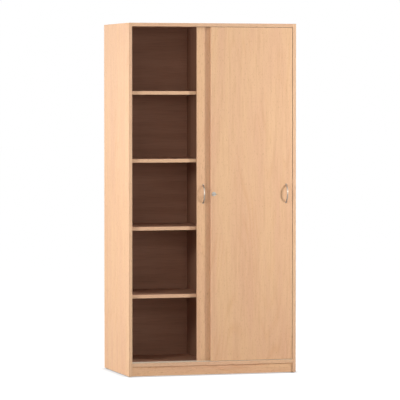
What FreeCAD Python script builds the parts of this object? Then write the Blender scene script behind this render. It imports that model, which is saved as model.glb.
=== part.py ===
import FreeCAD, Part
import math
import os

# Tall cupboard with two sliding doors. Millimetres.
# X runs to the right, Y from the front to the back, Z up from the floor.
# While it is built, Y = 0 is the front plane of the carcass. Every piece is moved at the end so that
# the origin is the bottom centre of the whole cupboard, handles and key included.

# ---------------------------------------------------------------- driving dimensions
# Carcass
CABINET_WIDTH = 950.0
CABINET_DEPTH = 540.0
CABINET_HEIGHT = 1920.0
BOARD = 19.0
EDGING = 2.0
EDGING_RADIUS = 1.0
PLINTH_HEIGHT = 51.0
PLINTH_SETBACK = 6.0
REAR_PLINTH_INSET = 20.0
BACK_THICKNESS = 8.0
BACK_RECESS = 42.0
BACK_GROOVE_DEPTH = 8.0
BACK_CLEARANCE = 0.2
BACK_EDGE_CLEARANCE = 1.0

# Floor glides
GLIDE_HEIGHT = 4.0
GLIDE_WIDTH = 15.0
GLIDE_LENGTH = 30.0
GLIDE_END_DISTANCE = 35.0

# Shelves
SHELF_COUNT = 4
SHELF_SIDE_CLEARANCE = 1.0
SHELF_BACK_CLEARANCE = 3.0
SHELF_SETBACK = 12.0
PIN_WIDTH = 5.0
PIN_SIDES = 8
PIN_HOLE_DEPTH = 8.0
PIN_END_CLEARANCE = 0.5
PIN_STANDING_OUT = 8.0
PIN_END_DISTANCE = 45.0

# Doors
DOOR_THICKNESS = 16.0
DOOR_INSET = 2.0
DOOR_GAP = 6.0
DOOR_SIDE_CLEARANCE = 2.0
DOOR_TOP_CLEARANCE = 2.0
DOOR_BOTTOM_CLEARANCE = 3.0
DOOR_OVERLAP = 24.0
LEFT_DOOR_SHOWING = 72.0

# Bottom rail with one rib under each door
RAIL_BEHIND_TRACK = 8.0
RAIL_BASE = 1.5
RIB_WIDTH = 3.0
RIB_HEIGHT = 4.0
RAIL_END_CLEARANCE = 0.5

# Top guide channel with one slot over each door
SLOT_WIDTH = 9.0
SLOT_DEPTH = 7.5
CHANNEL_WALL = 1.5
TONGUE_CLEARANCE = 0.5
TONGUE_HEADROOM = 1.5
TONGUE_LENGTH = 22.0
GUIDE_BODY_LENGTH = 30.0
GUIDE_BODY_WIDTH = 10.0
GUIDE_BODY_DEPTH = 18.0
GUIDE_END_DISTANCE = 70.0

# Rollers and their housings in the doors' bottom edges
ROLLER_GROOVE_RADIUS = 9.0
ROLLER_FLANGE_HEIGHT = 2.0
ROLLER_WIDTH = 7.6
ROLLER_SIDE_CLEARANCE = 0.4
ROLLER_RUNNING_GAP = 0.3
AXLE_RADIUS = 2.0
AXLE_RUNNING_FIT = 0.1
HOUSING_WALL = 1.8
HOUSING_LENGTH = 40.0
HOUSING_END_WALL = 2.0
HOUSING_HEADROOM = 1.5
HOUSING_TOP_WALL = 2.0
HOUSING_FLANGE_LENGTH = 64.0
HOUSING_FLANGE = 2.0
HOUSING_FIT = 0.1
HOUSING_END_DISTANCE = 80.0
DOOR_GROOVE_WIDTH = 7.0
DOOR_GROOVE_DEPTH = 5.0

# Bow handles
HANDLE_HEIGHT = 990.0
HANDLE_EDGE_DISTANCE = 35.0
HANDLE_SPACING = 96.0
HANDLE_RISE = 27.0
HANDLE_HALF_WIDTH = 4.0
HANDLE_HALF_THICKNESS = 2.75
HANDLE_CHAMFER = 1.8
FOOT_RADIUS = 5.5
FOOT_HEIGHT = 3.0

# Push-cylinder lock
LOCK_EDGE_DISTANCE = 17.0
LOCK_HEIGHT = HANDLE_HEIGHT
PLUNGER_RADIUS = 9.0
PLUNGER_LENGTH = 15.0
PLUNGER_STANDING_OUT = 12.0
LOCK_RUNNING_FIT = 0.1
BOLT_RADIUS = 3.0
LOCK_TUBE_WALL = 2.4
LOCK_TUBE_STANDING_OUT = 1.5
LOCK_PLATE = 2.0
LOCK_PLATE_WIDTH = 26.0
LOCK_PLATE_HEIGHT = 46.0
CORE_RADIUS = 5.5
CORE_LENGTH = 9.3
CORE_STANDING_OUT = 0.3
KEYWAY_WIDTH = 7.4
KEYWAY_HEIGHT = 2.0
KEYWAY_END_WALL = 0.7
KEY_FIT = 0.2
KEY_NECK = 6.0
KEY_BOW_RADIUS = 11.0
KEY_BOW_THICKNESS = 2.2
KEY_HOLE_RADIUS = 2.5
STRIKE_CLEARANCE = 0.5
STRIKE_DEPTH = 8.0

# Door buffers on the side panels
BUFFER_WIDTH = 8.0
BUFFER_LENGTH = 20.0
BUFFER_CLEARANCE = 0.3
BUFFER_HEIGHTS = (200.0, 1700.0)

# ---------------------------------------------------------------- places worked out from them
INNER_HALF = CABINET_WIDTH / 2 - BOARD
BOTTOM_UNDERSIDE = GLIDE_HEIGHT + PLINTH_HEIGHT
FLOOR_Z = BOTTOM_UNDERSIDE + BOARD
CEILING_Z = CABINET_HEIGHT - BOARD
BACK_FRONT_Y = CABINET_DEPTH - BACK_RECESS - BACK_THICKNESS
BACK_REAR_Y = BACK_FRONT_Y + BACK_THICKNESS

DOOR_WIDTH = INNER_HALF - DOOR_SIDE_CLEARANCE + DOOR_OVERLAP / 2
DOOR_BOTTOM = FLOOR_Z + DOOR_BOTTOM_CLEARANCE
DOOR_TOP = CEILING_Z - DOOR_TOP_CLEARANCE
RIGHT_DOOR_LEFT_X = INNER_HALF - DOOR_SIDE_CLEARANCE - DOOR_WIDTH
LEFT_DOOR_LEFT_X = RIGHT_DOOR_LEFT_X - LEFT_DOOR_SHOWING
LEFT_DOOR_CLOSED_X = -INNER_HALF + DOOR_SIDE_CLEARANCE
LEFT_DOOR_TRAVEL = LEFT_DOOR_LEFT_X - LEFT_DOOR_CLOSED_X
RIGHT_DOOR_Y = DOOR_INSET
LEFT_DOOR_Y = RIGHT_DOOR_Y + DOOR_THICKNESS + DOOR_GAP
RIGHT_TRACK_Y = RIGHT_DOOR_Y + DOOR_THICKNESS / 2
LEFT_TRACK_Y = LEFT_DOOR_Y + DOOR_THICKNESS / 2
TRACKS = (RIGHT_TRACK_Y, LEFT_TRACK_Y)

SHELF_FRONT_Y = LEFT_DOOR_Y + DOOR_THICKNESS + SHELF_SETBACK
SHELF_BACK_Y = BACK_FRONT_Y - SHELF_BACK_CLEARANCE
SHELF_PITCH = (CEILING_Z - FLOOR_Z + BOARD) / (SHELF_COUNT + 1)
SHELF_UNDERSIDES = [FLOOR_Z + n * SHELF_PITCH - BOARD for n in range(1, SHELF_COUNT + 1)]
PIN_YS = (SHELF_FRONT_Y + PIN_END_DISTANCE, SHELF_BACK_Y - PIN_END_DISTANCE)

RAIL_FRONT_Y = EDGING
RAIL_BACK_Y = LEFT_TRACK_Y + RAIL_BEHIND_TRACK
RAIL_TOP = FLOOR_Z + RAIL_BASE
RIB_TOP = RAIL_TOP + RIB_HEIGHT
AXLE_Z = RIB_TOP + ROLLER_RUNNING_GAP + ROLLER_GROOVE_RADIUS
ROLLER_RADIUS = ROLLER_GROOVE_RADIUS + ROLLER_FLANGE_HEIGHT
HOUSING_WIDTH = ROLLER_WIDTH + 2 * (ROLLER_SIDE_CLEARANCE + HOUSING_WALL)
HOUSING_CEILING = AXLE_Z + ROLLER_RADIUS + HOUSING_HEADROOM
HOUSING_TOP = HOUSING_CEILING + HOUSING_TOP_WALL
GROOVE_CEILING = DOOR_BOTTOM + DOOR_GROOVE_DEPTH

KEYWAY_DEPTH = CORE_LENGTH - KEYWAY_END_WALL
KEY_TIP_Y = DOOR_INSET - PLUNGER_STANDING_OUT - CORE_STANDING_OUT + KEYWAY_DEPTH - KEY_FIT
KEY_SHOULDER_Y = DOOR_INSET - PLUNGER_STANDING_OUT - CORE_STANDING_OUT - KEY_NECK
KEY_END_Y = KEY_SHOULDER_Y - 2 * KEY_BOW_RADIUS
LOCK_X = RIGHT_DOOR_LEFT_X + LOCK_EDGE_DISTANCE
LOCK_TUBE_RADIUS = PLUNGER_RADIUS + LOCK_RUNNING_FIT + LOCK_TUBE_WALL
LOCK_TUBE_FRONT_Y = DOOR_INSET - LOCK_TUBE_STANDING_OUT
LOCK_PLATE_Y = DOOR_INSET + DOOR_THICKNESS - LOCK_PLATE

ORIGIN = FreeCAD.Vector(0, -(CABINET_DEPTH + KEY_END_Y) / 2, 0)
SAME_PLACE = 1e-6


# ---------------------------------------------------------------- shapes used all over
def point(x, y, z):
    return FreeCAD.Vector(x, y, z)


def block(x0, x1, y0, y1, z0, z1):
    """Box between two planes along each axis."""
    return Part.makeBox(x1 - x0, y1 - y0, z1 - z0, point(x0, y0, z0))


def rod(radius, start, end):
    """Cylinder from one point to another."""
    along = end.sub(start)
    return Part.makeCylinder(radius, along.Length, start, along)


def turned(outline, centre):
    """Solid of revolution about an axis along Y. The outline holds (radius, distance along Y) corners."""
    corners = [centre + point(0, along, radius) for radius, along in outline]
    face = Part.Face(Part.makePolygon(corners + corners[:1]))
    return face.revolve(centre, point(0, 1, 0), 360)


def edging_strip(x0, x1, y0, y1, z0, z1, eased):
    """Strip of edging. eased(edge) picks the long edges that are rounded over."""
    strip = block(x0, x1, y0, y1, z0, z1)
    edges = [edge for edge in strip.Edges if eased(edge)]
    return strip.makeFillet(EDGING_RADIUS, edges)


def long_edge_at(axis, place, least_length):
    """Picks the long edges whose middle is at one place along an axis."""
    def pick(edge):
        middle = getattr(edge.BoundBox.Center, axis)
        return edge.Length > least_length and abs(middle - place) < SAME_PLACE
    return pick


os.makedirs("parts", exist_ok=True)


def write(node, *solids):
    """Moves the solids of one node to the cupboard's origin and exports them."""
    shape = solids[0].copy() if len(solids) == 1 else Part.makeCompound(list(solids))
    shape.translate(ORIGIN)
    shape.exportStep(f"parts/{node}.step")


# ---------------------------------------------------------------- shelf pins
def pin_outline(x, y, z):
    """Regular outline across a pin with a flat side up, for the shelf to rest on."""
    corner_radius = PIN_WIDTH / 2 / math.cos(math.pi / PIN_SIDES)
    angles = [(n + 0.5) * 2 * math.pi / PIN_SIDES for n in range(PIN_SIDES)]
    corners = [point(x, y + corner_radius * math.sin(a), z + corner_radius * math.cos(a)) for a in angles]
    return Part.Face(Part.makePolygon(corners + corners[:1]))


def pins_through(x0, x1):
    """Bars of the pins' section from x0 to x1, one under each end of every shelf."""
    return [pin_outline(x0, y, underside - PIN_WIDTH / 2).extrude(point(x1 - x0, 0, 0))
            for underside in SHELF_UNDERSIDES for y in PIN_YS]


def side_pins(way):
    """Pins in one side panel, a little clear of the bottoms of their holes."""
    inner = way * (INNER_HALF - PIN_STANDING_OUT)
    return pins_through(inner, way * (INNER_HALF + PIN_HOLE_DEPTH - PIN_END_CLEARANCE))


def partition_pins():
    """Pins right through the partition. Each carries the shelves on both of its sides."""
    reach = BOARD / 2 + PIN_STANDING_OUT
    return pins_through(-reach, reach)


# ---------------------------------------------------------------- floor glides
def floor_glides():
    """Stick-on plastic pads under both ends of each side panel."""
    side_x = CABINET_WIDTH / 2 - BOARD / 2
    return [block(way * side_x - GLIDE_WIDTH / 2, way * side_x + GLIDE_WIDTH / 2,
                  y - GLIDE_LENGTH / 2, y + GLIDE_LENGTH / 2, 0, GLIDE_HEIGHT)
            for way in (-1, 1) for y in (GLIDE_END_DISTANCE, CABINET_DEPTH - GLIDE_END_DISTANCE)]


# ---------------------------------------------------------------- carcass boards
def back_groove():
    """Room for the back panel's edges in the boards around it."""
    half = INNER_HALF + BACK_GROOVE_DEPTH
    return block(-half, half, BACK_FRONT_Y - BACK_CLEARANCE, BACK_REAR_Y + BACK_CLEARANCE,
                 FLOOR_Z - BACK_GROOVE_DEPTH, CEILING_Z + BACK_GROOVE_DEPTH)


def side_panel(way):
    """Side panel down to its glides, grooved for the back and drilled for shelf pins."""
    ends = sorted((way * INNER_HALF, way * CABINET_WIDTH / 2))
    panel = block(ends[0], ends[1], EDGING, CABINET_DEPTH, GLIDE_HEIGHT, CABINET_HEIGHT)
    return panel.cut(pins_through(way * INNER_HALF, way * (INNER_HALF + PIN_HOLE_DEPTH)) + [back_groove()])


def top_board():
    """Top board with the channel's groove in its underside."""
    board = block(-INNER_HALF, INNER_HALF, EDGING, CABINET_DEPTH, CEILING_Z, CABINET_HEIGHT)
    return board.cut([back_groove(), channel_groove()])


def bottom_board():
    board = block(-INNER_HALF, INNER_HALF, EDGING, CABINET_DEPTH, BOTTOM_UNDERSIDE, FLOOR_Z)
    return board.cut(back_groove())


def centre_partition():
    """Upright between the two halves, up to the back panel."""
    half = BOARD / 2
    panel = block(-half, half, SHELF_FRONT_Y + EDGING, BACK_FRONT_Y, FLOOR_Z, CEILING_Z)
    return panel.cut(pins_through(-half, half))


def back_panel():
    """Thin back in its grooves, with a little room on all four edges."""
    half = INNER_HALF + BACK_GROOVE_DEPTH - BACK_EDGE_CLEARANCE
    low = FLOOR_Z - BACK_GROOVE_DEPTH + BACK_EDGE_CLEARANCE
    high = CEILING_Z + BACK_GROOVE_DEPTH - BACK_EDGE_CLEARANCE
    return block(-half, half, BACK_FRONT_Y, BACK_REAR_Y, low, high)


def plinth(front_y):
    return block(-INNER_HALF, INNER_HALF, front_y, front_y + BOARD, GLIDE_HEIGHT, BOTTOM_UNDERSIDE)


def front_edging(x0, x1, z0, z1):
    """Strip on the front edge of a carcass board, rounded over along its front."""
    return edging_strip(x0, x1, 0, EDGING, z0, z1, long_edge_at("y", 0, 2 * BOARD))


def inner_edging(x0, x1, z0, z1):
    """Square strip on the front edge of a shelf or of the partition."""
    return block(x0, x1, SHELF_FRONT_Y, SHELF_FRONT_Y + EDGING, z0, z1)


def make_carcass():
    half = CABINET_WIDTH / 2
    write("left_side_panel", side_panel(-1))
    write("right_side_panel", side_panel(1))
    write("top_board", top_board())
    write("bottom_board", bottom_board())
    write("centre_partition", centre_partition())
    write("back_panel", back_panel())
    write("plinth_front", plinth(PLINTH_SETBACK))
    write("plinth_rear", plinth(CABINET_DEPTH - REAR_PLINTH_INSET - BOARD))
    write("left_side_edging", front_edging(-half, -INNER_HALF, GLIDE_HEIGHT, CABINET_HEIGHT))
    write("right_side_edging", front_edging(INNER_HALF, half, GLIDE_HEIGHT, CABINET_HEIGHT))
    write("top_board_edging", front_edging(-INNER_HALF, INNER_HALF, CEILING_Z, CABINET_HEIGHT))
    write("bottom_board_edging", front_edging(-INNER_HALF, INNER_HALF, BOTTOM_UNDERSIDE, FLOOR_Z))
    write("partition_edging", inner_edging(-BOARD / 2, BOARD / 2, FLOOR_Z, CEILING_Z))
    write("floor_glides", *floor_glides())


# ---------------------------------------------------------------- shelves
def make_shelves():
    """Four shelves on each side of the partition, each on four pins."""
    inner = BOARD / 2 + SHELF_SIDE_CLEARANCE
    outer = INNER_HALF - SHELF_SIDE_CLEARANCE
    for side, x0, x1 in (("left", -outer, -inner), ("right", inner, outer)):
        strips = []
        for number, low in enumerate(SHELF_UNDERSIDES, start=1):
            high = low + BOARD
            shelf = block(x0, x1, SHELF_FRONT_Y + EDGING, SHELF_BACK_Y, low, high)
            write(f"shelf_{side}_{number}", shelf)
            strips.append(inner_edging(x0, x1, low, high))
        write(f"shelf_edging_{side}", *strips)
    write("shelf_pins_left", *side_pins(-1))
    write("shelf_pins_middle", *partition_pins())
    write("shelf_pins_right", *side_pins(1))


# ---------------------------------------------------------------- bottom rail and top channel
def bottom_rail():
    """Flat base with two round-topped ribs, extruded along X."""
    half = INNER_HALF - RAIL_END_CLEARANCE
    half_rib = RIB_WIDTH / 2
    edges = []
    start = point(-half, RAIL_FRONT_Y, FLOOR_Z)
    here = point(-half, RAIL_FRONT_Y, RAIL_TOP)
    edges.append(Part.makeLine(start, here))
    for track in TRACKS:
        foot = point(-half, track - half_rib, RAIL_TOP)
        shoulder = point(-half, track - half_rib, RIB_TOP - half_rib)
        crown = point(-half, track, RIB_TOP)
        far_shoulder = point(-half, track + half_rib, RIB_TOP - half_rib)
        far_foot = point(-half, track + half_rib, RAIL_TOP)
        edges.append(Part.makeLine(here, foot))
        edges.append(Part.makeLine(foot, shoulder))
        edges.append(Part.Arc(shoulder, crown, far_shoulder).toShape())
        edges.append(Part.makeLine(far_shoulder, far_foot))
        here = far_foot
    last = point(-half, RAIL_BACK_Y, RAIL_TOP)
    corner = point(-half, RAIL_BACK_Y, FLOOR_Z)
    edges.append(Part.makeLine(here, last))
    edges.append(Part.makeLine(last, corner))
    edges.append(Part.makeLine(corner, start))
    return Part.Face(Part.Wire(edges)).extrude(point(2 * half, 0, 0))


def channel_groove():
    """Room in the top board's underside that the guide channel is pressed into."""
    half_slot = SLOT_WIDTH / 2 + CHANNEL_WALL
    return block(-INNER_HALF, INNER_HALF, RIGHT_TRACK_Y - half_slot, LEFT_TRACK_Y + half_slot,
                 CEILING_Z, CEILING_Z + SLOT_DEPTH + CHANNEL_WALL)


def top_guide_channel():
    """Plastic profile with one downward slot over each door."""
    half = INNER_HALF - RAIL_END_CLEARANCE
    half_slot = SLOT_WIDTH / 2
    profile = block(-half, half, RIGHT_TRACK_Y - half_slot - CHANNEL_WALL,
                    LEFT_TRACK_Y + half_slot + CHANNEL_WALL, CEILING_Z,
                    CEILING_Z + SLOT_DEPTH + CHANNEL_WALL)
    slots = [block(-half, half, track - half_slot, track + half_slot, CEILING_Z,
                   CEILING_Z + SLOT_DEPTH) for track in TRACKS]
    between = block(-half, half, RIGHT_TRACK_Y + half_slot + CHANNEL_WALL,
                    LEFT_TRACK_Y - half_slot - CHANNEL_WALL, CEILING_Z, CEILING_Z + SLOT_DEPTH)
    return profile.cut(slots + [between])


def door_buffers():
    """Rubber pads on the side panels that each door comes up against."""
    pads = []
    for way in (-1, 1):
        x0, x1 = sorted((way * INNER_HALF, way * (INNER_HALF - DOOR_SIDE_CLEARANCE + BUFFER_CLEARANCE)))
        for track in TRACKS:
            for z in BUFFER_HEIGHTS:
                pads.append(block(x0, x1, track - BUFFER_WIDTH / 2, track + BUFFER_WIDTH / 2,
                                  z - BUFFER_LENGTH / 2, z + BUFFER_LENGTH / 2))
    return pads


def make_tracks():
    write("bottom_rail", bottom_rail())
    write("top_guide_channel", top_guide_channel())
    write("door_buffers", *door_buffers())


# ---------------------------------------------------------------- running gear of a door
def roller(x, track):
    """Grooved roller on a lying axle. The groove straddles the rail's rib."""
    half = ROLLER_WIDTH / 2
    side = RIB_WIDTH / 2 + ROLLER_RUNNING_GAP
    bore = AXLE_RADIUS + AXLE_RUNNING_FIT
    outline = [(bore, -half), (ROLLER_RADIUS, -half), (ROLLER_RADIUS, -side),
               (ROLLER_GROOVE_RADIUS, -side), (ROLLER_GROOVE_RADIUS, side),
               (ROLLER_RADIUS, side), (ROLLER_RADIUS, half), (bore, half)]
    return turned(outline, point(x, track, AXLE_Z))


def housing_outside(x, track, room):
    """Outer form of a housing, larger by room all round for the pocket it sits in."""
    half_width = HOUSING_WIDTH / 2 + room
    half_length = HOUSING_LENGTH / 2 + room
    half_flange = HOUSING_FLANGE_LENGTH / 2 + room
    body = block(x - half_length, x + half_length, track - half_width, track + half_width,
                 GROOVE_CEILING, HOUSING_TOP + room)
    flange = block(x - half_flange, x + half_flange, track - half_width, track + half_width,
                   GROOVE_CEILING, GROOVE_CEILING + HOUSING_FLANGE)
    return body.fuse(flange).removeSplitter()


def roller_housing(x, track):
    """Moulded knock-in box, open below, with a flange at each end and its fixed axle."""
    half_width = ROLLER_WIDTH / 2 + ROLLER_SIDE_CLEARANCE
    half_length = HOUSING_LENGTH / 2 - HOUSING_END_WALL
    room = block(x - half_length, x + half_length, track - half_width, track + half_width,
                 GROOVE_CEILING, HOUSING_CEILING)
    axle = rod(AXLE_RADIUS, point(x, track - half_width, AXLE_Z), point(x, track + half_width, AXLE_Z))
    return housing_outside(x, track, 0).cut(room).fuse(axle)


def housing_pocket(x, track):
    """Pocket that is routed into the door's bottom edge for a housing."""
    half_length = HOUSING_FLANGE_LENGTH / 2 + HOUSING_FIT
    half_width = HOUSING_WIDTH / 2 + HOUSING_FIT
    mouth = block(x - half_length, x + half_length, track - half_width, track + half_width,
                  DOOR_BOTTOM, GROOVE_CEILING)
    return [housing_outside(x, track, HOUSING_FIT), mouth]


def guide_body(x, track):
    """Block of a guide, let into the door's top edge."""
    half_length = GUIDE_BODY_LENGTH / 2
    half_width = GUIDE_BODY_WIDTH / 2
    return block(x - half_length, x + half_length, track - half_width, track + half_width,
                 DOOR_TOP - GUIDE_BODY_DEPTH, DOOR_TOP)


def top_guide(x, track):
    """Moulded guide. Its tongue runs in the channel's slot."""
    half_length = TONGUE_LENGTH / 2
    half_width = SLOT_WIDTH / 2 - TONGUE_CLEARANCE
    tongue = block(x - half_length, x + half_length, track - half_width, track + half_width,
                   DOOR_TOP, CEILING_Z + SLOT_DEPTH - TONGUE_HEADROOM)
    return guide_body(x, track).fuse(tongue)


# ---------------------------------------------------------------- bow handle
def bar_section(middle):
    """Face across the bar at its apex, flat behind and eased at its two front corners."""
    wide = HANDLE_HALF_WIDTH
    deep = HANDLE_HALF_THICKNESS
    outline = [(-wide, deep), (-wide, HANDLE_CHAMFER - deep), (HANDLE_CHAMFER - wide, -deep),
               (wide - HANDLE_CHAMFER, -deep), (wide, HANDLE_CHAMFER - deep), (wide, deep)]
    corners = [middle + point(x, y, 0) for x, y in outline]
    return Part.Face(Part.makePolygon(corners + corners[:1]))


def bow_handle(x, face_y):
    """Arc of a flattened bar between two feet, standing in front of the face at face_y."""
    half_span = HANDLE_SPACING / 2
    radius = (half_span ** 2 + HANDLE_RISE ** 2) / (2 * HANDLE_RISE)
    centre = point(x, face_y - HANDLE_RISE + radius, HANDLE_HEIGHT)
    foot_angle = math.degrees(math.asin(half_span / radius))
    section = bar_section(centre + point(0, -radius, 0))
    section.rotate(centre, point(1, 0, 0), foot_angle)
    bar = section.revolve(centre, point(-1, 0, 0), 2 * foot_angle)
    feet = []
    for z in (HANDLE_HEIGHT - half_span, HANDLE_HEIGHT + half_span):
        feet.append(rod(FOOT_RADIUS, point(x, face_y - FOOT_HEIGHT, z), point(x, face_y, z)))
    behind = block(x - radius, x + radius, face_y, face_y + radius,
                   HANDLE_HEIGHT - radius, HANDLE_HEIGHT + radius)
    return bar.fuse(feet).cut(behind).removeSplitter()


# ---------------------------------------------------------------- lock
def lock_centre(y):
    return point(LOCK_X, y, LOCK_HEIGHT)


def lock_plate(room):
    """Plate on the door's back, larger by room for its recess."""
    half_width = LOCK_PLATE_WIDTH / 2 + room
    half_height = LOCK_PLATE_HEIGHT / 2 + room
    return block(LOCK_X - half_width, LOCK_X + half_width, LOCK_PLATE_Y, DOOR_INSET + DOOR_THICKNESS,
                 LOCK_HEIGHT - half_height, LOCK_HEIGHT + half_height)


def lock_housing():
    """Tube through the door, standing out as a collar, with the plate at its rear end."""
    tube = rod(LOCK_TUBE_RADIUS, lock_centre(LOCK_TUBE_FRONT_Y), lock_centre(LOCK_PLATE_Y))
    bore = rod(PLUNGER_RADIUS + LOCK_RUNNING_FIT, lock_centre(LOCK_TUBE_FRONT_Y), lock_centre(LOCK_PLATE_Y))
    bolt_hole = rod(BOLT_RADIUS + LOCK_RUNNING_FIT, lock_centre(LOCK_PLATE_Y),
                    lock_centre(DOOR_INSET + DOOR_THICKNESS))
    return tube.fuse(lock_plate(0)).cut([bore, bolt_hole]).removeSplitter()


def lock_plunger():
    """Barrel with a bore for the core in its front and the bolt behind."""
    front = -PLUNGER_STANDING_OUT
    rear = front + PLUNGER_LENGTH
    core_room = front + CORE_LENGTH
    core_bore = CORE_RADIUS + LOCK_RUNNING_FIT
    outline = [(0, core_room), (core_bore, core_room), (core_bore, front),
               (PLUNGER_RADIUS, front), (PLUNGER_RADIUS, rear), (BOLT_RADIUS, rear),
               (BOLT_RADIUS, DOOR_THICKNESS), (0, DOOR_THICKNESS)]
    return turned(outline, lock_centre(DOOR_INSET))


def keyway(front_y, depth, room):
    """Flat slot for the key blade, less room on every side."""
    half_width = KEYWAY_WIDTH / 2 - room
    half_height = KEYWAY_HEIGHT / 2 - room
    return block(LOCK_X - half_width, LOCK_X + half_width, front_y, front_y + depth,
                 LOCK_HEIGHT - half_height, LOCK_HEIGHT + half_height)


def lock_core():
    """Key cylinder with its keyway."""
    front = DOOR_INSET - PLUNGER_STANDING_OUT - CORE_STANDING_OUT
    core = rod(CORE_RADIUS, lock_centre(front), lock_centre(front + CORE_LENGTH))
    return core.cut(keyway(front, KEYWAY_DEPTH, 0))


def key():
    """Flat key, blade in the core and round bow outside."""
    blade = keyway(KEY_SHOULDER_Y, KEY_TIP_Y - KEY_SHOULDER_Y, KEY_FIT)
    low = LOCK_HEIGHT - KEY_BOW_THICKNESS / 2
    high = LOCK_HEIGHT + KEY_BOW_THICKNESS / 2
    bow_y = KEY_SHOULDER_Y - KEY_BOW_RADIUS
    bow = rod(KEY_BOW_RADIUS, point(LOCK_X, bow_y, low), point(LOCK_X, bow_y, high))
    neck = block(LOCK_X - KEYWAY_WIDTH / 2, LOCK_X + KEYWAY_WIDTH / 2, bow_y,
                 KEY_SHOULDER_Y + KEY_NECK / 2, low, high)
    hole_y = KEY_END_Y + 2 * KEY_HOLE_RADIUS
    hole = rod(KEY_HOLE_RADIUS, point(LOCK_X, hole_y, low), point(LOCK_X, hole_y, high))
    return blade.fuse([bow, neck]).cut(hole).removeSplitter()


def lock_cuts():
    """What is taken out of the right door for the lock."""
    hole = rod(LOCK_TUBE_RADIUS + LOCK_RUNNING_FIT, lock_centre(DOOR_INSET),
               lock_centre(DOOR_INSET + DOOR_THICKNESS))
    return [hole, lock_plate(LOCK_RUNNING_FIT)]


def strike_hole():
    """Blind hole in the left door, where the bolt meets it once both doors are closed."""
    shift = point(LEFT_DOOR_TRAVEL, 0, 0)
    return rod(BOLT_RADIUS + STRIKE_CLEARANCE, lock_centre(LEFT_DOOR_Y) + shift,
               lock_centre(LEFT_DOOR_Y + STRIKE_DEPTH) + shift)


def make_lock():
    write("lock_housing", lock_housing())
    write("lock_plunger", lock_plunger())
    write("lock_core", lock_core())
    write("key", key())


# ---------------------------------------------------------------- doors
def door_panel(left_x, face_y, cuts):
    """Panel inside its edging, grooved along the bottom so that it hides the rail's rib."""
    track = face_y + DOOR_THICKNESS / 2
    panel = block(left_x + EDGING, left_x + DOOR_WIDTH - EDGING, face_y, face_y + DOOR_THICKNESS,
                  DOOR_BOTTOM, DOOR_TOP - EDGING)
    groove = door_groove(left_x, track)
    return panel.cut([groove] + cuts)


def door_groove(left_x, track):
    half = DOOR_GROOVE_WIDTH / 2
    return block(left_x, left_x + DOOR_WIDTH, track - half, track + half,
                 DOOR_BOTTOM, GROOVE_CEILING)


def door_edging(left_x, face_y, guides):
    """Strips up both sides and along the top of a door."""
    right_x = left_x + DOOR_WIDTH
    back_y = face_y + DOOR_THICKNESS
    groove = door_groove(left_x, face_y + DOOR_THICKNESS / 2)
    left = edging_strip(left_x, left_x + EDGING, face_y, back_y, DOOR_BOTTOM, DOOR_TOP,
                        long_edge_at("x", left_x, 2 * DOOR_THICKNESS))
    right = edging_strip(right_x - EDGING, right_x, face_y, back_y, DOOR_BOTTOM, DOOR_TOP,
                         long_edge_at("x", right_x, 2 * DOOR_THICKNESS))
    top = block(left_x + EDGING, right_x - EDGING, face_y, back_y, DOOR_TOP - EDGING, DOOR_TOP)
    return [left.cut(groove), right.cut(groove), top.cut(guides)]


def make_door(side, left_x, face_y, handle_x, lock_parts):
    """One door with its handle, rollers, housings and top guides."""
    track = face_y + DOOR_THICKNESS / 2
    roller_xs = (left_x + HOUSING_END_DISTANCE, left_x + DOOR_WIDTH - HOUSING_END_DISTANCE)
    guide_xs = (left_x + GUIDE_END_DISTANCE, left_x + DOOR_WIDTH - GUIDE_END_DISTANCE)
    pockets = [cut for x in roller_xs for cut in housing_pocket(x, track)]
    guides = [guide_body(x, track) for x in guide_xs]
    write(f"{side}_door_panel", door_panel(left_x, face_y, pockets + guides + lock_parts))
    write(f"{side}_door_edging", *door_edging(left_x, face_y, guides))
    write(f"{side}_door_handle", bow_handle(handle_x, face_y))
    write(f"{side}_door_roller_housings", *[roller_housing(x, track) for x in roller_xs])
    write(f"{side}_door_top_guides", *[top_guide(x, track) for x in guide_xs])
    for end, x in zip(("left", "right"), roller_xs):
        write(f"{side}_door_{end}_roller", roller(x, track))


def make_doors():
    left_handle_x = LEFT_DOOR_LEFT_X + HANDLE_EDGE_DISTANCE
    right_handle_x = RIGHT_DOOR_LEFT_X + DOOR_WIDTH - HANDLE_EDGE_DISTANCE
    make_door("left", LEFT_DOOR_LEFT_X, LEFT_DOOR_Y, left_handle_x, [strike_hole()])
    make_door("right", RIGHT_DOOR_LEFT_X, RIGHT_DOOR_Y, right_handle_x, lock_cuts())


make_carcass()
make_shelves()
make_tracks()
make_doors()
make_lock()
print("front plane y", ORIGIN.y, "left door travel", LEFT_DOOR_TRAVEL)
print("tracks y", [track + ORIGIN.y for track in TRACKS], "axle z", AXLE_Z)
print("lock x", LOCK_X, "roller groove radius", ROLLER_GROOVE_RADIUS)
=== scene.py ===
import math

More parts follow.
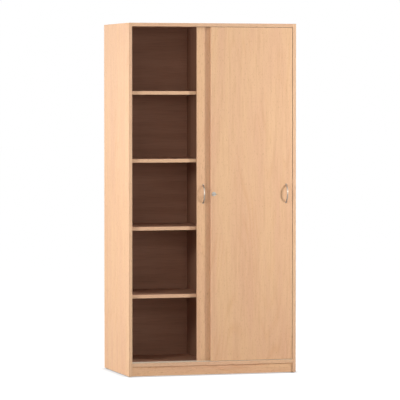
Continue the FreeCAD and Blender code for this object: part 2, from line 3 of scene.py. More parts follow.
import bmesh
import bpy
import numpy as np
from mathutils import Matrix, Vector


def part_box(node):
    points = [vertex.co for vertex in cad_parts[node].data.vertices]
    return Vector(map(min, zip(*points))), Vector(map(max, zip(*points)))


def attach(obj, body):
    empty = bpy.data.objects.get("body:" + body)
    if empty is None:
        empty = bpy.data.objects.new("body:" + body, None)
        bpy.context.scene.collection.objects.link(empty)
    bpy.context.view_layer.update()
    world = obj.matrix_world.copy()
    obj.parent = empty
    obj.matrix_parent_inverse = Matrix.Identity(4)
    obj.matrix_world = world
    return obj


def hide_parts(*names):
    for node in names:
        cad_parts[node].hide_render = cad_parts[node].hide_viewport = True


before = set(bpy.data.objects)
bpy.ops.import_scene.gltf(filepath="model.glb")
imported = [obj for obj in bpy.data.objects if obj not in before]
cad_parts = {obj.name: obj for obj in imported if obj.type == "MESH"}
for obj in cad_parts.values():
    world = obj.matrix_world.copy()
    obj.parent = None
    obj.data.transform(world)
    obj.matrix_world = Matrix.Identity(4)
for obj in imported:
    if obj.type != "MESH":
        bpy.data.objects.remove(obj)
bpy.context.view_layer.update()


# ------------------------------------------------------------------ carcass boards
# The two sides, the top, the bottom and both plinth boards: 19 mm chipboard pressed with melamine film,
# printed as beech outside and dark brown on the faces that look into the cabinet. The glued corner joints
# are hidden. The rear edges are left as they were sawn.

def linear(hex_colour):
    """sRGB hex to linear RGBA: c / 12.92 up to 0.04045, above that ((c + 0.055) / 1.055) to the power 2.4."""
    c = np.array([int(hex_colour[i:i + 2], 16) for i in (1, 3, 5)]) / 255
    return (*np.where(c <= 0.04045, c / 12.92, ((c + 0.055) / 1.055) ** 2.4), 1.0)


def add(tree, kind, sockets=(), out=0, **settings):
    """Adds one node and returns one of its outputs. A socket's value is a number, a colour or an output."""
    node = tree.nodes.new("ShaderNode" + kind)
    for name, value in settings.items():
        setattr(node, name, value)
    for socket, value in dict(sockets).items():
        if isinstance(value, bpy.types.NodeSocket):
            tree.links.new(value, node.inputs[socket])
        else:
            node.inputs[socket].default_value = value
    return node.outputs[out] if node.outputs else node


def new_material(name):
    """Starts a material. Returns it, its node tree and the Object coordinates that its patterns use."""
    material = bpy.data.materials.new(name)
    material.use_nodes = True
    material.node_tree.nodes.clear()
    return material, material.node_tree, add(material.node_tree, "TexCoord", out="Object")


def streaks(tree, place, grain, width_mm, length_mm, detail=2.0):
    """Streaks of noise, width_mm wide across the grain and length_mm long along it."""
    waves = [1000 / (length_mm if axis == grain else width_mm) for axis in "XYZ"]
    stretched = add(tree, "Mapping", {"Vector": place, "Scale": waves})
    return add(tree, "TexNoise", {"Vector": stretched, "Scale": 1.0, "Detail": detail, "Roughness": 0.55})


def blend(tree, amount, first, second, low=0.0, high=1.0):
    """Goes from the first colour to the second as amount goes from low to high."""
    share = add(tree, "MapRange", {"Value": amount, "From Min": low, "From Max": high})
    return add(tree, "Mix", {0: share, 6: first, 7: second}, out=2, data_type="RGBA")


BEECH_YELLOW = "#E7BC91"
BEECH_PINK = "#E2B38E"
BEECH_FIBRE = "#CC9970"
BEECH_RAY = "#A8744F"
RING_TINT = "#F9F2EC"
WHITE = "#FFFFFF"

# The width of each figure across the grain and its length along it, in mm.
TONE_MM = (45, 600)
STRIPE_MM = (9, 210)
FIBRE_MM = (2.2, 90)
RAY_MM = (3, 15)
RING_DRIFT_MM = (110, 1300)
RING_PATCH_MM = (130, 420)

# The levels of the noise between which each figure goes from nothing to its full colour.
# A second level above 1 keeps the figure faint.
TONE_LEVELS = (0.32, 0.66)
STRIPE_LEVELS = (0.50, 1.25)
FIBRE_LEVELS = (0.45, 1.35)
RAY_LEVELS = (0.60, 0.95)
RING_PATCH_LEVELS = (0.45, 0.72)

LOG_SPACING = 0.42
LOG_MIDDLE = (0.13, 0.0, 0.0)
LOG_TAPER = 0.06
RING_WIDTH = 0.010
RING_DRIFT = 6.0
RING_LINE = (0.0, 0.30)


def beech_print(tree, place, grain):
    """Printed beech, cut along logs that taper and lie 420 mm apart. A ring's number is the distance from the
    log's middle plus 0.06 times the way along it, over 10 mm, plus slow noise, so a board's face shows long
    arches. On them lie stripes 9 mm wide, fibres 2 mm wide and ray flecks. The flecks are drawn at 3 mm by
    15 mm, three times their real size, so that they show. To the eye it is an even, warm wood with a fine
    figure along the grain."""
    across = [0.0 if axis == grain else math.pi / LOG_SPACING for axis in "XYZ"]
    shift = [-scale * middle for scale, middle in zip(across, LOG_MIDDLE)]
    from_log = add(tree, "Mapping", {"Vector": place, "Location": shift, "Scale": across})
    wave = add(tree, "VectorMath", {0: from_log}, operation="SINE")
    distance = add(tree, "VectorMath", {0: wave}, out="Value", operation="LENGTH")
    along = add(tree, "SeparateXYZ", {"Vector": place}, out=grain)
    rise = add(tree, "Math", {0: along, 1: LOG_TAPER / RING_WIDTH}, operation="MULTIPLY")
    wander = streaks(tree, place, grain, *RING_DRIFT_MM, detail=1.0)
    drift = add(tree, "Math", {0: wander, 1: RING_DRIFT, 2: rise}, operation="MULTIPLY_ADD")
    rings_each = LOG_SPACING / math.pi / RING_WIDTH
    number = add(tree, "Math", {0: distance, 1: rings_each, 2: drift}, operation="MULTIPLY_ADD")
    ring = add(tree, "Math", {0: number, 1: 0.5}, operation="PINGPONG")
    tone = streaks(tree, place, grain, *TONE_MM)
    stripe = streaks(tree, place, grain, *STRIPE_MM)
    fibre = streaks(tree, place, grain, *FIBRE_MM, detail=3.0)
    ray = streaks(tree, place, grain, *RAY_MM, detail=1.0)
    wood = blend(tree, tone, linear(BEECH_PINK), linear(BEECH_YELLOW), *TONE_LEVELS)
    patchy = streaks(tree, place, grain, *RING_PATCH_MM, detail=1.0)
    line = blend(tree, patchy, linear(WHITE), linear(RING_TINT), *RING_PATCH_LEVELS)
    ringed = blend(tree, ring, line, linear(WHITE), *RING_LINE)
    wood = add(tree, "Mix", {0: 1.0, 6: wood, 7: ringed}, out=2, data_type="RGBA", blend_type="MULTIPLY")
    wood = blend(tree, stripe, wood, linear(BEECH_FIBRE), *STRIPE_LEVELS)
    wood = blend(tree, fibre, wood, linear(BEECH_FIBRE), *FIBRE_LEVELS)
    return blend(tree, ray, wood, linear(BEECH_RAY), *RAY_LEVELS), fibre


# Pale and deep tones of the brown, in lit and shaded copies of one film: painted light. Inside, the boards
# stand in the cabinet's own shade, so their brown is written lighter than the sides', whose inner faces look
# towards the lamps.
SHADE_LIFTED_BROWNS = ("#BB8C71", "#B08267")
LAMP_DIMMED_SIDE_BROWNS = ("#83604D", "#7A5845")
BROWN_FIBRE = "#5A3A2C"
BROWN_BAND_MM = (45, 700)
BROWN_FIBRE_MM = (3, 110)
BROWN_BAND_LEVELS = (0.35, 0.65)
BROWN_FIBRE_LEVELS = (0.5, 1.4)


def brown_print(tree, place, grain, pale, deep):
    """Dark brown print: bands 45 mm wide and fibres 3 mm wide, both faint, along the grain."""
    band = streaks(tree, place, grain, *BROWN_BAND_MM)
    fibre = streaks(tree, place, grain, *BROWN_FIBRE_MM, detail=3.0)
    brown = blend(tree, band, linear(deep), linear(pale), *BROWN_BAND_LEVELS)
    return blend(tree, fibre, brown, linear(BROWN_FIBRE), *BROWN_FIBRE_LEVELS), fibre


FILM_IOR = 1.5
FILM_ROUGHNESS = (0.5, 0.62)
FILM_CLOUDS_PER_METRE = 60.0
PORE_DEPTH = 0.00003
PORE_STRENGTH = 0.4


def melamine(tree, colour, relief, place):
    """Pressed melamine film: silk matt, with pores 0.03 mm deep along the print's fibres. It shows lamps
    only as a broad soft sheen."""
    cloudy = add(tree, "TexNoise", {"Vector": place, "Scale": FILM_CLOUDS_PER_METRE, "Detail": 2.0})
    rough = add(tree, "MapRange", {"Value": cloudy, "To Min": FILM_ROUGHNESS[0], "To Max": FILM_ROUGHNESS[1]})
    pores = add(tree, "Bump", {"Height": relief, "Strength": PORE_STRENGTH, "Distance": PORE_DEPTH})
    shader = add(tree, "BsdfPrincipled",
                 {"Base Color": colour, "Roughness": rough, "IOR": FILM_IOR, "Normal": pores})
    add(tree, "OutputMaterial", {"Surface": shader})


def beyond(tree, place, axis, limit, above=True):
    """1 where the place along one axis is past the limit."""
    along = add(tree, "SeparateXYZ", {"Vector": place}, out=axis)
    return add(tree, "Math", {0: along, 1: limit}, operation="GREATER_THAN" if above else "LESS_THAN")


PIN_HOLE_RADIUS = 0.0025
PIN_HOLE_SPACING = 0.032
HOLES_EACH_WAY = 2
HOLE_SHADE = "#21140D"
pins_low, pins_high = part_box("shelf_pins_left")
PIN_ROWS = [pins_low.y + PIN_HOLE_RADIUS, pins_high.y - PIN_HOLE_RADIUS]
LOWEST_PIN = pins_low.z + PIN_HOLE_RADIUS
SHELF_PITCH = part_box("shelf_left_2")[0].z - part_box("shelf_left_1")[0].z


def drilled(tree, place, face):
    """Rows of 5 mm holes at 32 mm, five round each shelf, drawn as dark dots of painted shade: distance to
    the nearest centre under the radius.
    """
    y, z = (add(tree, "SeparateXYZ", {"Vector": place}, out=axis) for axis in "YZ")
    to_front, to_rear = (add(tree, "Math", {0: y, 1: row}, operation="SUBTRACT") for row in PIN_ROWS)
    to_front, to_rear = (add(tree, "Math", {0: gap}, operation="ABSOLUTE") for gap in (to_front, to_rear))
    across = add(tree, "Math", {0: to_front, 1: to_rear}, operation="MINIMUM")
    above = add(tree, "Math", {0: z, 1: LOWEST_PIN}, operation="SUBTRACT")
    from_shelf = add(tree, "Math", {0: above, 1: SHELF_PITCH / 2}, operation="PINGPONG")
    up = add(tree, "Math", {0: from_shelf, 1: PIN_HOLE_SPACING / 2}, operation="PINGPONG")
    centre = add(tree, "CombineXYZ", {"X": across, "Y": up})
    apart = add(tree, "VectorMath", {0: centre}, out="Value", operation="LENGTH")
    inside = add(tree, "Math", {0: apart, 1: PIN_HOLE_RADIUS}, operation="LESS_THAN")
    reach = (HOLES_EACH_WAY + 0.5) * PIN_HOLE_SPACING
    near = add(tree, "Math", {0: from_shelf, 1: reach}, operation="LESS_THAN")
    there = add(tree, "Math", {0: inside, 1: near}, operation="MULTIPLY")
    return blend(tree, there, face, linear(HOLE_SHADE))


# A plane that picks out one face of a board lies this far inside it.
FACE_DEPTH = 0.0004
REAR_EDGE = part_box("left_side_panel")[1].y
CHIPS_PER_METRE = 330.0
CHIP_DARK = "#A47B50"
CHIP_PALE = "#D8B98C"
CHIP_LEVELS = (0.1, 0.9)


def chipboard(tree, place):
    """Sawn edge: flat chips 3 mm across in shades of tan, with no sheen of their own."""
    chips = add(tree, "TexVoronoi", {"Vector": place, "Scale": CHIPS_PER_METRE}, out="Color")
    tone = add(tree, "SeparateColor", {"Color": chips})
    return blend(tree, tone, linear(CHIP_DARK), linear(CHIP_PALE), *CHIP_LEVELS)


def faced_board(name, grain, axis=None, limit=0.0, above=True, browns=SHADE_LIFTED_BROWNS, holes=False):
    """Beech all round with a sawn rear edge, and brown on the face past the limit along an axis."""
    material, tree, place = new_material(name)
    colour, relief = beech_print(tree, place, grain)
    if axis:
        brown, _ = brown_print(tree, place, grain, *browns)
        if holes:
            brown = drilled(tree, place, brown)
        colour = blend(tree, beyond(tree, place, axis, limit, above), colour, brown)
    colour = blend(tree, beyond(tree, place, "Y", REAR_EDGE - FACE_DEPTH), colour, chipboard(tree, place))
    melamine(tree, colour, relief, place)
    return material


def dress(material, *node_names):
    """Gives CAD nodes one material."""
    for name in node_names:
        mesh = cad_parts[name].data
        mesh.materials.clear()
        mesh.materials.append(material)


inner_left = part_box("left_side_panel")[1].x - FACE_DEPTH
inner_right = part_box("right_side_panel")[0].x + FACE_DEPTH
under_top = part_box("top_board")[0].z + FACE_DEPTH
over_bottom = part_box("bottom_board")[1].z - FACE_DEPTH
dress(faced_board("beech_melamine_left_side", "Z", "X", inner_left, True, LAMP_DIMMED_SIDE_BROWNS, holes=True),
      "left_side_panel")
dress(faced_board("beech_melamine_right_side", "Z", "X", inner_right, False, LAMP_DIMMED_SIDE_BROWNS, holes=True),
      "right_side_panel")
dress(faced_board("beech_melamine_top", "X", "Z", under_top, above=False), "top_board")
dress(faced_board("beech_melamine_bottom", "X", "Z", over_bottom, above=True), "bottom_board")
dress(faced_board("beech_melamine_plinth", "X"), "plinth_front", "plinth_rear")


# ------------------------------------------------------------------ back, partition and shelves
# The 8 mm back slides into grooves, the 19 mm partition stands between bottom and top, and the eight
# shelves lie on pins. All are faced with the dark brown film, with the grain level except on the partition.

# Painted light: the partition's faces catch a little more light than the back and the shelves, and are
# written darker.
LIGHT_DIMMED_PARTITION_BROWNS = ("#AC8067", "#A2775D")


def brown_board(name, grain, browns=SHADE_LIFTED_BROWNS, holes=False):
    """Brown film on both faces, so it has the same soft sheen as the beech and a level figure."""
    material, tree, place = new_material(name)
    colour, relief = brown_print(tree, place, grain, *browns)
    if holes:
        colour = drilled(tree, place, colour)
    melamine(tree, colour, relief, place)
    return material


dress(brown_board("brown_melamine_level", "X"), "back_panel",
      *(f"shelf_{side}_{number}" for side in ("left", "right") for number in (1, 2, 3, 4)))
dress(brown_board("brown_melamine_partition", "Z", LIGHT_DIMMED_PARTITION_BROWNS, holes=True), "centre_partition")


# ------------------------------------------------------------------ edging strips
# 2 mm ABS strip, hot glued to the front edges and to three edges of each door, then trimmed and eased.
# It is printed to match, a little greyer than the film.

LACQUER_GREY = "#D2BAA6"
LACQUER_SHARE = 0.15


def abs_edging(name, grain):
    """The beech print under a matt lacquer, which makes the strip look slightly greyer than the boards."""
    material, tree, place = new_material(name)
    colour, relief = beech_print(tree, place, grain)
    colour = add(tree, "Mix", {0: LACQUER_SHARE, 6: colour, 7: linear(LACQUER_GREY)}, out=2, data_type="RGBA")
    melamine(tree, colour, relief, place)
    return material


dress(abs_edging("beech_abs_edging_upright", "Z"), "left_side_edging", "right_side_edging",
      "partition_edging", "left_door_edging", "right_door_edging")
dress(abs_edging("beech_abs_edging_level", "X"), "top_board_edging", "bottom_board_edging",
      "shelf_edging_left", "shelf_edging_right")


# ------------------------------------------------------------------ shelf pins
# Eight-sided steel pins, cold headed and zinc plated, pushed into the drilled holes. The plating is dull
# and scratched lengthways where the shelf has slid over it.

SCRATCH_MM = (0.5, 8)
SCRATCH_LEVELS = (0.45, 0.75)
SCRATCH_DEPTH = 0.00003
SCRATCH_STRENGTH = 0.25


def plated(name, colour, worn, low_rough, high_rough):
    """Plated metal. Scratches change its tint and its roughness, so its shine is soft and uneven. They are
    drawn 0.5 mm wide, some five times their real width, so that they show."""
    material, tree, place = new_material(name)
    scratch = streaks(tree, place, "Y", *SCRATCH_MM, detail=3.0)
    tint = blend(tree, scratch, linear(colour), linear(worn), *SCRATCH_LEVELS)
    rough = add(tree, "MapRange", {"Value": scratch, "To Min": low_rough, "To Max": high_rough})
    relief = add(tree, "Bump", {"Height": scratch, "Strength": SCRATCH_STRENGTH, "Distance": SCRATCH_DEPTH})
    shader = add(tree, "BsdfPrincipled",
                 {"Base Color": tint, "Metallic": 1.0, "Roughness": rough, "Normal": relief})
    add(tree, "OutputMaterial", {"Surface": shader})
    return material


zinc_plate = plated("zinc_plated_steel", "#B4B6B8", "#C9CBCC", 0.32, 0.52)
dress(zinc_plate, "shelf_pins_left", "shelf_pins_middle", "shelf_pins_right")


# ------------------------------------------------------------------ floor glides, channel and buffers
# Polyethylene pads stuck under the boards, the brown PVC channel pressed into the top board, and rubber
# pads that stop the doors. The pads and the channel have an even, soft gloss, and the rubber is dull.

PLASTIC_IOR = 1.46
SKIN_PER_METRE = 1000.0
SKIN_DEPTH = 0.00005
SKIN_STRENGTH = 0.3
TINT_CLOUDS_PER_METRE = 50.0
TINT_LEVELS = (0.3, 0.7)


def moulded(name, colour, bright, low_rough, high_rough):
    """Moulded or extruded plastic with a spark-eroded skin, which breaks up its gloss. The skin is drawn at
    1 mm so that it shows."""
    material, tree, place = new_material(name)
    skin = add(tree, "TexNoise", {"Vector": place, "Scale": SKIN_PER_METRE, "Detail": 3.0})
    cloud = add(tree, "TexNoise", {"Vector": place, "Scale": TINT_CLOUDS_PER_METRE, "Detail": 1.0})
    tint = blend(tree, cloud, linear(colour), linear(bright), *TINT_LEVELS)
    rough = add(tree, "MapRange", {"Value": skin, "To Min": low_rough, "To Max": high_rough})
    relief = add(tree, "Bump", {"Height": skin, "Strength": SKIN_STRENGTH, "Distance": SKIN_DEPTH})
    shader = add(tree, "BsdfPrincipled",
                 {"Base Color": tint, "Roughness": rough, "IOR": PLASTIC_IOR, "Normal": relief})
    add(tree, "OutputMaterial", {"Surface": shader})
    return material


dress(moulded("polyethylene_glide", "#A8A6A0", "#B2B0AA", 0.42, 0.56), "floor_glides")
dress(moulded("rubber_buffer", "#2A2928", "#353433", 0.6, 0.8), "door_buffers")
dress(moulded("brown_pvc_channel", "#5A4031", "#634737", 0.38, 0.5), "top_guide_channel")


# ------------------------------------------------------------------ bottom rail
# Extruded aluminium with two ribs for the rollers, anodised in a warm champagne tone, screwed down
# between the ribs. The crowns of the ribs are worn bright by the rollers.

rail_low, rail_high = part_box("bottom_rail")
RAIL_ROUGHNESS = (0.32, 0.5)
DIE_LINE_MM = (0.5, 120)
DIE_LINE_LEVELS = (0.35, 0.65)
DIE_LINE_DEPTH = 0.00004
DIE_LINE_STRENGTH = 0.3
ANODISED_DEEP = "#B2A08B"
ANODISED_PALE = "#C4B39E"
BARE_ALUMINIUM = "#DAD6CF"
WORN_CROWN = 0.0006


def worn_rail():
    """Anodised aluminium: die lines along X, drawn 0.5 mm wide so that they show, with bare metal on the top
    0.6 mm of the ribs. To the eye it is a dull warm band with two brighter threads."""
    material, tree, place = new_material("anodised_aluminium_rail")
    line = streaks(tree, place, "X", *DIE_LINE_MM)
    skin = blend(tree, line, linear(ANODISED_DEEP), linear(ANODISED_PALE), *DIE_LINE_LEVELS)
    crown = beyond(tree, place, "Z", rail_high.z - WORN_CROWN)
    colour = blend(tree, crown, skin, linear(BARE_ALUMINIUM))
    rough = add(tree, "MapRange", {"Value": line, "To Min": RAIL_ROUGHNESS[0], "To Max": RAIL_ROUGHNESS[1]})
    relief = add(tree, "Bump", {"Height": line, "Strength": DIE_LINE_STRENGTH, "Distance": DIE_LINE_DEPTH})
    shader = add(tree, "BsdfPrincipled",
                 {"Base Color": colour, "Metallic": 1.0, "Roughness": rough, "Normal": relief})
    add(tree, "OutputMaterial", {"Surface": shader})
    return material


dress(worn_rail(), "bottom_rail")

MERGE_DISTANCE = 0.000002


def grid_piece(name, grid, material, body, close_rows=False, close_columns=False):
    """Makes a closed mesh of quads from a grid of points (rows, columns, 3), joined up round one way. Points
    that coincide at a pole are merged, and the faces are turned outwards."""
    rows, columns = grid.shape[:2]
    row = np.arange(rows if close_rows else rows - 1)[:, None]
    column = np.arange(columns if close_columns else columns - 1)[None, :]
    next_row, next_column = (row + 1) % rows, (column + 1) % columns
    corners = [row * columns + column, row * columns + next_column,
               next_row * columns + next_column, next_row * columns + column]
    quads = np.stack([corner.ravel() for corner in corners], axis=1)
    mesh = bpy.data.meshes.new(name)
    mesh.from_pydata(grid.reshape(-1, 3).tolist(), [], quads.tolist())
    shell = bmesh.new()
    shell.from_mesh(mesh)
    bmesh.ops.remove_doubles(shell, verts=shell.verts, dist=MERGE_DISTANCE)
    bmesh.ops.recalc_face_normals(shell, faces=shell.faces)
    shell.to_mesh(mesh)
    shell.free()
    mesh.polygons.foreach_set("use_smooth", np.ones(len(mesh.polygons), bool))
    mesh.materials.append(material)
    piece = bpy.data.objects.new(name, mesh)
    bpy.context.scene.collection.objects.link(piece)
    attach(piece, body)
    return piece


# The recess and the cone are given as shares of the head's radius.
RECESS_HALF_WIDTH = 0.13
RECESS_REACH = 0.55
RECESS_RUN_OUT = 0.6
RECESS_SLOPE = 0.6
CONE_DEPTH = 0.6
HEAD_RINGS = 25
HEAD_STEPS = 48


def screw_head(name, centre, outward, radius, dome, body):
    """Cross-recess screw head: height = dome (1 - r^2), less 0.6 (0.6 - r) of the radius in two crossed slots
    that reach out to r = 0.55, and below it a cone that goes down to 0.6 of the radius."""
    r = np.linspace(0, 1, HEAD_RINGS)[None, :]
    turn = np.linspace(0, 2 * math.pi, HEAD_STEPS, endpoint=False)[:, None]
    u, v = r * np.cos(turn), r * np.sin(turn)
    height = dome * (1 - r ** 2)
    in_slot = (np.minimum(np.abs(u), np.abs(v)) < RECESS_HALF_WIDTH) & (r < RECESS_REACH)
    height = np.where(in_slot, height - RECESS_SLOPE * radius * (RECESS_RUN_OUT - r), height)
    u, v, height = (np.pad(part, ((0, 0), (0, 1))) for part in (u, v, height))
    height[:, -1] = -CONE_DEPTH * radius
    axis = np.array(outward, float)
    side = np.array([1.0, 0.0, 0.0])
    grid = np.array(centre) + radius * (u[..., None] * side + v[..., None] * np.cross(axis, side))
    return grid_piece(name, grid + height[..., None] * axis, zinc_plate, body, close_rows=True)


RAIL_BASE = 0.0015
RAIL_SCREW_RADIUS = 0.0034
RAIL_SCREW_DOME = 0.0003
RAIL_SCREW_PROUD = 0.0002
RAIL_SCREW_FROM_END = 0.056
RAIL_SCREWS = 4
screw_y = (rail_low.y + rail_high.y) / 2
screw_z = rail_low.z + RAIL_BASE + RAIL_SCREW_PROUD
screw_places = np.linspace(rail_low.x + RAIL_SCREW_FROM_END, rail_high.x - RAIL_SCREW_FROM_END, RAIL_SCREWS)
for number, x in enumerate(screw_places, 1):
    screw_head(f"rail_screw_{number}", (x, screw_y, screw_z), (0, 0, 1),
               RAIL_SCREW_RADIUS, RAIL_SCREW_DOME, "cabinet")


# ------------------------------------------------------------------ doors
# Two 16 mm boards pressed with the beech film on both sides, grain upright, with the edging strip on
# three edges. The bottom edge is grooved over the rail and pocketed for the rollers.

def door_board():
    """The beech print upright on both faces, with raw chipboard on the bottom edge."""
    material, tree, place = new_material("beech_melamine_door")
    colour, relief = beech_print(tree, place, "Z")
    sawn = beyond(tree, place, "Z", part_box("left_door_panel")[0].z + FACE_DEPTH, above=False)
    melamine(tree, blend(tree, sawn, colour, chipboard(tree, place)), relief, place)
    return material


dress(door_board(), "left_door_panel", "right_door_panel")


# ------------------------------------------------------------------ rollers, their housings and top guides
# Brown nylon housings pressed into the bottom edge hold grooved rollers of natural acetal on fixed axles,
# and brown nylon tongues in the top edge run in the channel. Nylon is half matt, acetal waxy and smoother.

dress(moulded("nylon_guide", "#4A382D", "#533F33", 0.38, 0.52),
      *(f"{side}_door_{part}" for side in ("left", "right") for part in ("roller_housings", "top_guides")))
dress(moulded("acetal_roller", "#D6D3C9", "#DEDBD2", 0.28, 0.4),
      *(f"{side}_door_{end}_roller" for side in ("left", "right") for end in ("left", "right")))


# ------------------------------------------------------------------ bow handles
# Die-cast zinc bow with an oval section and two round feet, plated with satin nickel, which gives a warm
# grey shine with blurred edges. Two machine screws from behind the door hold it.

satin_nickel = plated("satin_nickel_plate", "#A3978B", "#B2A699", 0.26, 0.38)
BAR_HALF_WIDTH = 0.004
BAR_HALF_THICKNESS = 0.00275
BAR_SWELL = 0.18
BAR_STEPS = 81
SECTION_STEPS = 36
FOOT_RADIUS = 0.0055
FOOT_WALL = 0.0018
FOOT_EDGE_RADIUS = 0.0012
FOOT_EDGE_STEPS = 7
FOOT_HEIGHT = 0.0034
FOOT_BASE_RING = 0.0001
HANDLE_SCREW_RADIUS = 0.0042
HANDLE_SCREW_DOME = 0.0016


def bow_bar(x, face, tip, middle, half_span):
    """Oval section (w cos b, t sin b) carried along an arc of radius (h^2 + s^2) / 2h through both feet,
    and widened by 18% towards the feet as the sixth power of the arc angle. Both ends are closed."""
    rise = face - tip - BAR_HALF_THICKNESS
    radius = (half_span ** 2 + rise ** 2) / (2 * rise)
    end = math.asin(half_span / radius)
    a = np.linspace(-end, end, BAR_STEPS)[:, None]
    b = np.linspace(0, 2 * math.pi, SECTION_STEPS, endpoint=False)[None, :]
    swell = 1 + BAR_SWELL * (a / end) ** 6
    out = radius + BAR_HALF_THICKNESS * swell * np.sin(b)
    bar = np.stack([x + BAR_HALF_WIDTH * swell * np.cos(b),
                    np.minimum(face - rise + radius - out * np.cos(a), face),
                    middle + out * np.sin(a)], axis=-1)
    middles = np.broadcast_to(bar.mean(axis=1, keepdims=True), bar.shape)
    return np.concatenate([middles[:1], bar, middles[-1:]])


def turned(profile, centre, axis, steps=48):
    """Profile points (radius, distance along the axis) carried once round the axis."""
    profile = np.array(profile, float)
    turn = np.linspace(0, 2 * math.pi, steps, endpoint=False)[:, None]
    axis = np.array(axis, float)
    up = np.array([0.0, 0.0, 1.0])
    ring = np.cos(turn) * up + np.sin(turn) * np.cross(axis, up)
    return np.array(centre) + profile[None, :, 1:] * axis + profile[None, :, :1] * ring[:, None, :]


def foot_profile():
    """Points (radius, height) of a closed foot: a straight wall up to 1.8 mm, a quarter circle of 1.2 mm, and
    a shallow cone up to 3.4 mm in the middle."""
    a = np.linspace(0, math.pi / 2, FOOT_EDGE_STEPS)
    rounded = np.stack([FOOT_RADIUS - FOOT_EDGE_RADIUS * (1 - np.cos(a)),
                        FOOT_WALL + FOOT_EDGE_RADIUS * np.sin(a)], axis=1)
    base = [(0.0, 0.0), (FOOT_RADIUS, 0.0), (FOOT_RADIUS, FOOT_BASE_RING)]
    return np.concatenate([base, rounded, [(0.0, FOOT_HEIGHT)]])


for side in ("left", "right"):
    low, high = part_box(f"{side}_door_handle")
    x, middle = (low.x + high.x) / 2, (low.z + high.z) / 2
    half_span = (high.z - low.z) / 2 - FOOT_RADIUS
    bar = grid_piece(f"{side}_handle_bar", bow_bar(x, high.y, low.y, middle, half_span), satin_nickel,
                     f"{side}_door", close_columns=True)
    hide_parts(f"{side}_door_handle")
    for end, z in (("lower", middle - half_span), ("upper", middle + half_span)):
        foot = grid_piece(f"{side}_handle_{end}_foot", turned(foot_profile(), (x, high.y, z), (0, -1, 0)),
                          satin_nickel, f"{side}_door", close_rows=True)
        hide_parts(f"{side}_door_handle")
        screw_head(f"{side}_handle_{end}_screw", (x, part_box(f"{side}_door_panel")[1].y, z), (0, 1, 0),
                   HANDLE_SCREW_RADIUS, HANDLE_SCREW_DOME, f"{side}_door")


# ------------------------------------------------------------------ lock
# Push-cylinder lock with its key in, set through the front door and held by a plate let into its back. The
# housing, plunger and core are die-cast zinc with bright nickel plate, which looks paler than the handles.
# The key is stamped brass with nickel plate, written darker than the lock as painted shade for the shadowed
# underside of its level bow.

lock_nickel = plated("bright_nickel_plate", "#BDB8B1", "#CFCBC5", 0.28, 0.42)
dress(lock_nickel, "lock_housing", "lock_plunger", "lock_core")
dress(plated("nickel_plated_brass_painted_dark", "#857F74", "#979186", 0.28, 0.42), "key")


# ------------------------------------------------------------------ studio
# A plain pale floor and an even white surround. Two small soft boxes, left and right of the doors, throw
# the handles' shadows. Wider ones fill in from the sides, the front, above and behind.

def surround(tree):
    """1 for the rays that show the white background: those of the camera, of gloss and of clear stuff."""
    rays = [add(tree, "LightPath", out=f"Is {kind} Ray") for kind in ("Camera", "Glossy", "Transmission")]
    either = add(tree, "Math", {0: rays[0], 1: rays[1]}, operation="MAXIMUM")
    return add(tree, "Math", {0: either, 1: rays[2]}, operation="MAXIMUM")


# The floor shows the lamps' shadows at a fifth of its strength. Where something stands within 60 mm above
# it, the white fades into a painted contact shadow, as it does where an object meets the floor.
SHADOW_SHARE = 0.2
CONTACT_REACH = 0.06
CONTACT_SHADE_GLOW = 0.35
FLOOR_PAINT = "#DEDCD9"
FLOOR_REACH = 60
floor_material = bpy.data.materials.new("pale_floor")
floor_material.use_nodes = True
tree = floor_material.node_tree
tree.nodes.clear()
paint = add(tree, "BsdfDiffuse", {"Color": linear(FLOOR_PAINT)})
open_above = add(tree, "AmbientOcclusion", {"Distance": CONTACT_REACH}, out="AO", samples=24)
contact_shaded_glow = add(tree, "MapRange", {"Value": open_above, "To Min": CONTACT_SHADE_GLOW, "To Max": 1 / (1 - SHADOW_SHARE)})
white = add(tree, "Emission", {"Color": linear(WHITE), "Strength": contact_shaded_glow})
share = add(tree, "Math", {0: surround(tree), 1: 1 - SHADOW_SHARE}, operation="MULTIPLY")
add(tree, "OutputMaterial", {"Surface": add(tree, "MixShader", {0: share, 1: paint, 2: white})})
floor_corners = [(x * FLOOR_REACH, y * FLOOR_REACH, 0) for x, y in ((-1, -1), (1, -1), (1, 1), (-1, 1))]
floor_mesh = bpy.data.meshes.new("floor")
floor_mesh.from_pydata(floor_corners, [], [(0, 1, 2, 3)])
floor_mesh.materials.append(floor_material)
floor = bpy.data.objects.new("floor", floor_mesh)
bpy.context.scene.collection.objects.link(floor)

world = bpy.data.worlds.new("white_surround")
bpy.context.scene.world = world
world.use_nodes = True
tree = world.node_tree
tree.nodes.clear()
white = add(tree, "Background", {"Color": linear(WHITE), "Strength": surround(tree)})
add(tree, "OutputWorld", {"Surface": white})

LAMP_AIM = (0.0, -0.25, 1.0)


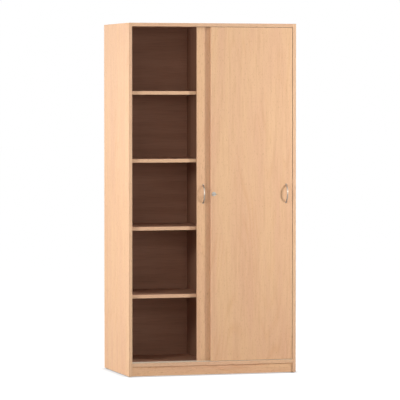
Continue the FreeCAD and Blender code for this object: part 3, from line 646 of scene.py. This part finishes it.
def soft_box(name, azimuth, elevation, distance, width, height, watts):
    """Rectangular lamp on a sphere round the middle of the doors, facing it. Azimuth 0 is straight in front
    of them and grows to the right. Angles are in degrees and sizes in metres."""
    data = bpy.data.lights.new(name, "AREA")
    data.shape = "RECTANGLE"
    data.size, data.size_y, data.energy = width, height, watts
    lamp = bpy.data.objects.new(name, data)
    bpy.context.scene.collection.objects.link(lamp)
    a, e = math.radians(azimuth), math.radians(elevation)
    away = (math.sin(a) * math.cos(e), -math.cos(a) * math.cos(e), math.sin(e))
    lamp.location = [aim + distance * part for aim, part in zip(LAMP_AIM, away)]
    lamp.rotation_euler = (math.pi / 2 - e, 0, a)


soft_box("left_box", -52, 13, 2.8, 0.4, 0.4, 19)
soft_box("right_box", 52, 12, 2.8, 0.4, 0.4, 46)
soft_box("left_side_box", -88, 8, 4.0, 1.2, 2.0, 104)
soft_box("left_front_box", -32, 25, 4.0, 1.2, 1.0, 8)
soft_box("front_box", -12, 10, 5.0, 1.2, 1.2, 20)
soft_box("upper_box", -6, 52, 3.0, 0.8, 0.5, 8)
soft_box("right_upper_box", 66, 32, 2.6, 1.4, 1.2, 6)
soft_box("rear_box", 180, 12, 4.5, 2.4, 2.0, 60)
soft_box("overhead_box", 180, 75, 2.6, 0.8, 0.7, 20)


# ------------------------------------------------------------------ camera
# It stands 15.7 m away at eye height, to the left of the doors, and looks slightly down through a long
# lens, so that upright edges stay nearly parallel.

CAMERA_PLACE = (-4.3793, -15.1166, 1.5403)
CAMERA_DOWN = 2.154
CAMERA_TURN = 16.15
LENS_MM = 255.92
SENSOR_MM = 36.0
lens = bpy.data.cameras.new("camera")
lens.sensor_width = SENSOR_MM
lens.lens = LENS_MM
camera = bpy.data.objects.new("camera", lens)
camera.location = CAMERA_PLACE
camera.rotation_euler = (math.radians(90 - CAMERA_DOWN), 0, math.radians(-CAMERA_TURN))
bpy.context.scene.collection.objects.link(camera)
bpy.context.scene.camera = camera
bpy.context.scene.view_settings.view_transform = "Standard"
